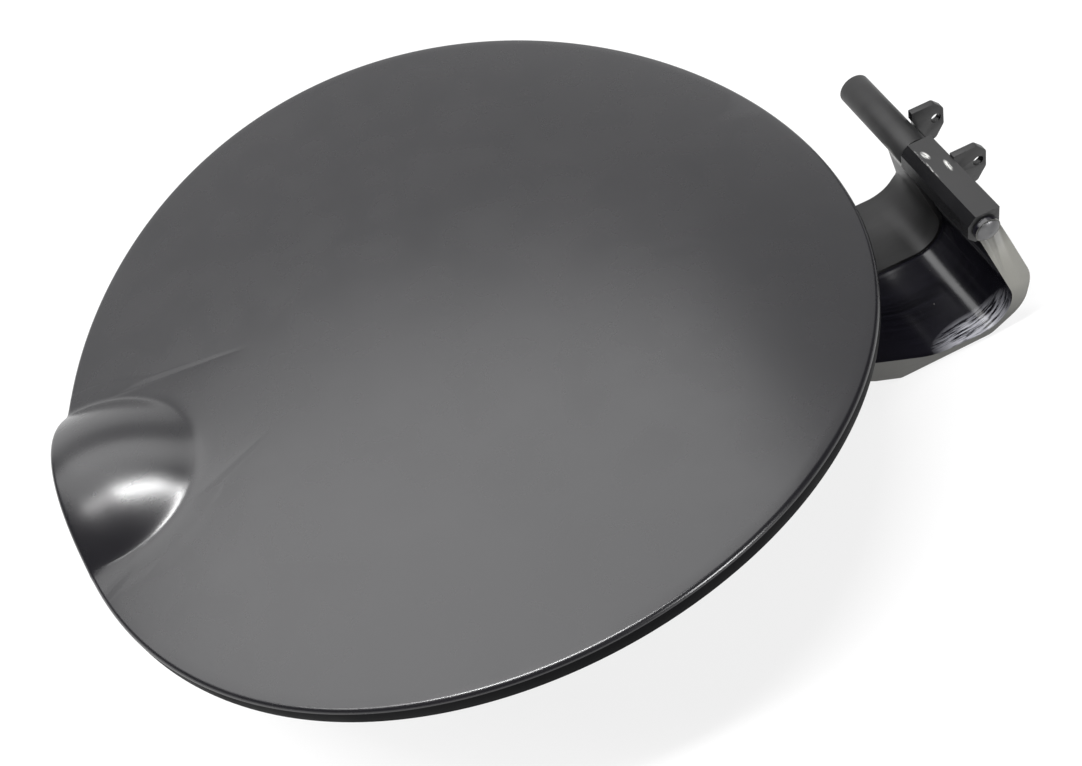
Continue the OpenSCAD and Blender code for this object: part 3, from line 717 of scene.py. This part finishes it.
def grown(name, tree, points, settings):
    # Runs a tree on a few points and keeps its result as a plain mesh at the origin
    start_mesh = bpy.data.meshes.new(name + "_places")
    start_mesh.from_pydata(points, [], [])
    piece = bpy.data.objects.new(name, start_mesh)
    bpy.context.collection.objects.link(piece)
    modifier = piece.modifiers.new("build", "NODES")
    modifier.node_group = tree
    for identifier, value in settings.items():
        modifier[identifier] = value
    evaluated = piece.evaluated_get(bpy.context.evaluated_depsgraph_get())
    result = bpy.data.meshes.new_from_object(evaluated)
    result.name = name
    piece.modifiers.clear()
    piece.data = result
    result.shade_smooth()
    result.set_sharp_from_angle(angle=radians(40))
    return piece


for name, low, high in (("foot_rivets", arm_rivet_low, arm_rivet_high),
                        ("catch_rivet_pair", catch_rivet_low, catch_rivet_high)):
    xs = sorted({round(low.x + rivet_head_r, 6), round(high.x - rivet_head_r, 6)})
    ys = (low.y + rivet_head_r, high.y - rivet_head_r)
    places = [(x, y, low.z + rivet_head_h) for x in xs for y in ys]
    clamped = high.z - rivet_tail_h - low.z - rivet_head_h
    rivets = grown(name, rivet_tree, places, {rivet_inputs["Clamped thickness"]: clamped})
    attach(rivets, "door")
    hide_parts("arm_rivets" if name == "foot_rivets" else "catch_rivets")


# Latch catch
# A blanked and bent steel loop that the lock's bolt enters, zinc plated with a faint
# yellowish spangle.
zinc = plain_steel("zinc_plate", (0.36, 0.355, 0.32), (0.52, 0.51, 0.47), 0.95, 0.28, 0.42, 500, 0.00001)
catch = pressed_copy("latch_catch", "catch_loop", 0.0002)
catch.data.materials.append(zinc)
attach(catch, "door")
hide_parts("latch_catch")


# Rest buffers
# Two moulded rubber buffers, pushed through the inner panel by their ribbed stems. Matt
# black with a fine moulding grain and a little pale bloom.
buffer_rubber = e_coat(
    "black_rubber", (0.011, 0.011, 0.011), (0.02, 0.02, 0.019), 0.62, 0.78, 0.00004, 0.2)
buffers = pressed_copy("rest_buffers", "buffer_pair", 0.0004, smooth_under=24)
buffers.data.materials.append(buffer_rubber)
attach(buffers, "door")
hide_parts("rest_buffers")


# Hinge pin
# A turned steel pin pressed into the barrel's far end, with a low domed head against the
# arm's near side wall. Dark coated, with a smooth satin head.
pin_steel = plain_steel(
    "pin_steel", (0.085, 0.085, 0.088), (0.12, 0.12, 0.122), 0.55, 0.3, 0.4, 300, 0.000006)
pin = pressed_copy("hinge_pin", "headed_pin", 0.0003, smooth_under=30)
pin.data.materials.append(pin_steel)
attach(pin, "door")
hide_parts("hinge_pin")


# Closing spring
# Drawn wire wound round the pin inside the barrel. Its legs are left out, as in the CAD.
spring_low, spring_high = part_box("closing_spring")
wire_r = 0.0004
coil_r = (spring_high.z - spring_low.z) / 2 - wire_r
wound_l = spring_high.y - spring_low.y - 2 * wire_r
spring_turns = 9.0
spring_tree = bpy.data.node_groups.new("wound_spring", "GeometryNodeTree")
spring_tree.interface.new_socket("Start", in_out="INPUT", socket_type="NodeSocketGeometry")
spring_inputs = {label: input_socket(spring_tree, label, value) for label, value in (
    ("Turns", spring_turns), ("Coil radius", coil_r), ("Wound length", wound_l), ("Wire radius", wire_r))}
spring_tree.interface.new_socket("Spring", in_out="OUTPUT", socket_type="NodeSocketGeometry")
given = spring_tree.nodes.new("NodeGroupInput")
made = spring_tree.nodes.new("NodeGroupOutput")
helix = spring_tree.nodes.new("GeometryNodeCurveSpiral")
helix.inputs["Resolution"].default_value = 24
helix.inputs["Reverse"].default_value = True
wire = spring_tree.nodes.new("GeometryNodeCurvePrimitiveCircle")
wire.inputs["Resolution"].default_value = 8
drawn = spring_tree.nodes.new("GeometryNodeCurveToMesh")
drawn.inputs["Fill Caps"].default_value = True
laid = spring_tree.nodes.new("GeometryNodeTransform")
laid.inputs["Rotation"].default_value = (radians(-90), 0, 0)
laid.inputs["Translation"].default_value = (
    (spring_low.x + spring_high.x) / 2, spring_low.y + wire_r, (spring_low.z + spring_high.z) / 2)
real = spring_tree.nodes.new("GeometryNodeRealizeInstances")
coat = spring_tree.nodes.new("GeometryNodeSetMaterial")
coat.inputs["Material"].default_value = plain_steel(
    "spring_steel", (0.18, 0.18, 0.18), (0.32, 0.32, 0.31), 0.9, 0.25, 0.4, 1500, 0.000005)
spring_tree.links.new(given.outputs["Turns"], helix.inputs["Rotations"])
spring_tree.links.new(given.outputs["Coil radius"], helix.inputs["Start Radius"])
spring_tree.links.new(given.outputs["Coil radius"], helix.inputs["End Radius"])
spring_tree.links.new(given.outputs["Wound length"], helix.inputs["Height"])
spring_tree.links.new(given.outputs["Wire radius"], wire.inputs["Radius"])
spring_tree.links.new(helix.outputs["Curve"], drawn.inputs["Curve"])
spring_tree.links.new(wire.outputs["Curve"], drawn.inputs["Profile Curve"])
spring_tree.links.new(drawn.outputs["Mesh"], laid.inputs["Geometry"])
spring_tree.links.new(laid.outputs["Geometry"], real.inputs["Geometry"])
spring_tree.links.new(real.outputs[0], coat.inputs["Geometry"])
spring_tree.links.new(coat.outputs[0], made.inputs["Spring"])
spring = grown("wound_spring", spring_tree, [(0, 0, 0)], {spring_inputs["Turns"]: spring_turns})
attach(spring, "door")
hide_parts("closing_spring")


# Hinge block
# The fixed half of the hinge: a cast block round the pin with a rail behind the barrel and
# two drilled ears. Satin coat, with its left face painted black as shade, and a few chips on top by that
# edge.
block_low, block_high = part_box("hinge_block")
shaded_face_x = -0.5
block_coat = e_coat(
    "block_e_coat", (0.016, 0.016, 0.0163), (0.023, 0.0226, 0.023), 0.36, 0.44, 0.000015, 0.1)
block_coat.node_tree.nodes["Principled BSDF"].inputs["Specular IOR Level"].default_value = 0.28
# Painted shade: the left face gets a black, glossier copy of the block's coat
block_shaded_side_coat = e_coat(
    "block_painted_shade_side_coat", (0.0030, 0.0030, 0.0036), (0.0055, 0.0054, 0.0062), 0.22, 0.3, 0.00001, 0.1)
block_shaded_side_coat.node_tree.nodes["Principled BSDF"].inputs["Specular IOR Level"].default_value = 0.3
for centre, reach, turn, grain, least in (
        ((-0.0117, block_low.y + 0.0195, 0.0037), (0.0007, 0.0078, 0.001), (0, 0, 0),
         (0.0004, 0.0016, 0.001), 0.5),
        ((-0.0101, block_low.y + 0.0217, 0.0037), (0.0007, 0.0017, 0.001), (0, 0, radians(10)),
         (0.0003, 0.003, 0.001), 0.4),
        ((-0.0078, block_low.y + 0.0164, 0.0037), (0.0006, 0.0021, 0.001), (0, 0, radians(-4)),
         (0.0003, 0.003, 0.001), 0.4)):
    scratches_and_painted_light(block_coat, centre, reach, turn, grain, least, (0.55, 0.55, 0.53))
block = pressed_copy("hinge_block", "cast_block", 0.00025)
block.data.materials.append(block_coat)
block.data.materials.append(block_shaded_side_coat)
# Faces turned to the left are painted shade
for face in block.data.polygons:
    face.material_index = int(face.normal.x < shaded_face_x)
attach(block, "hinge_base")
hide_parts("hinge_block")
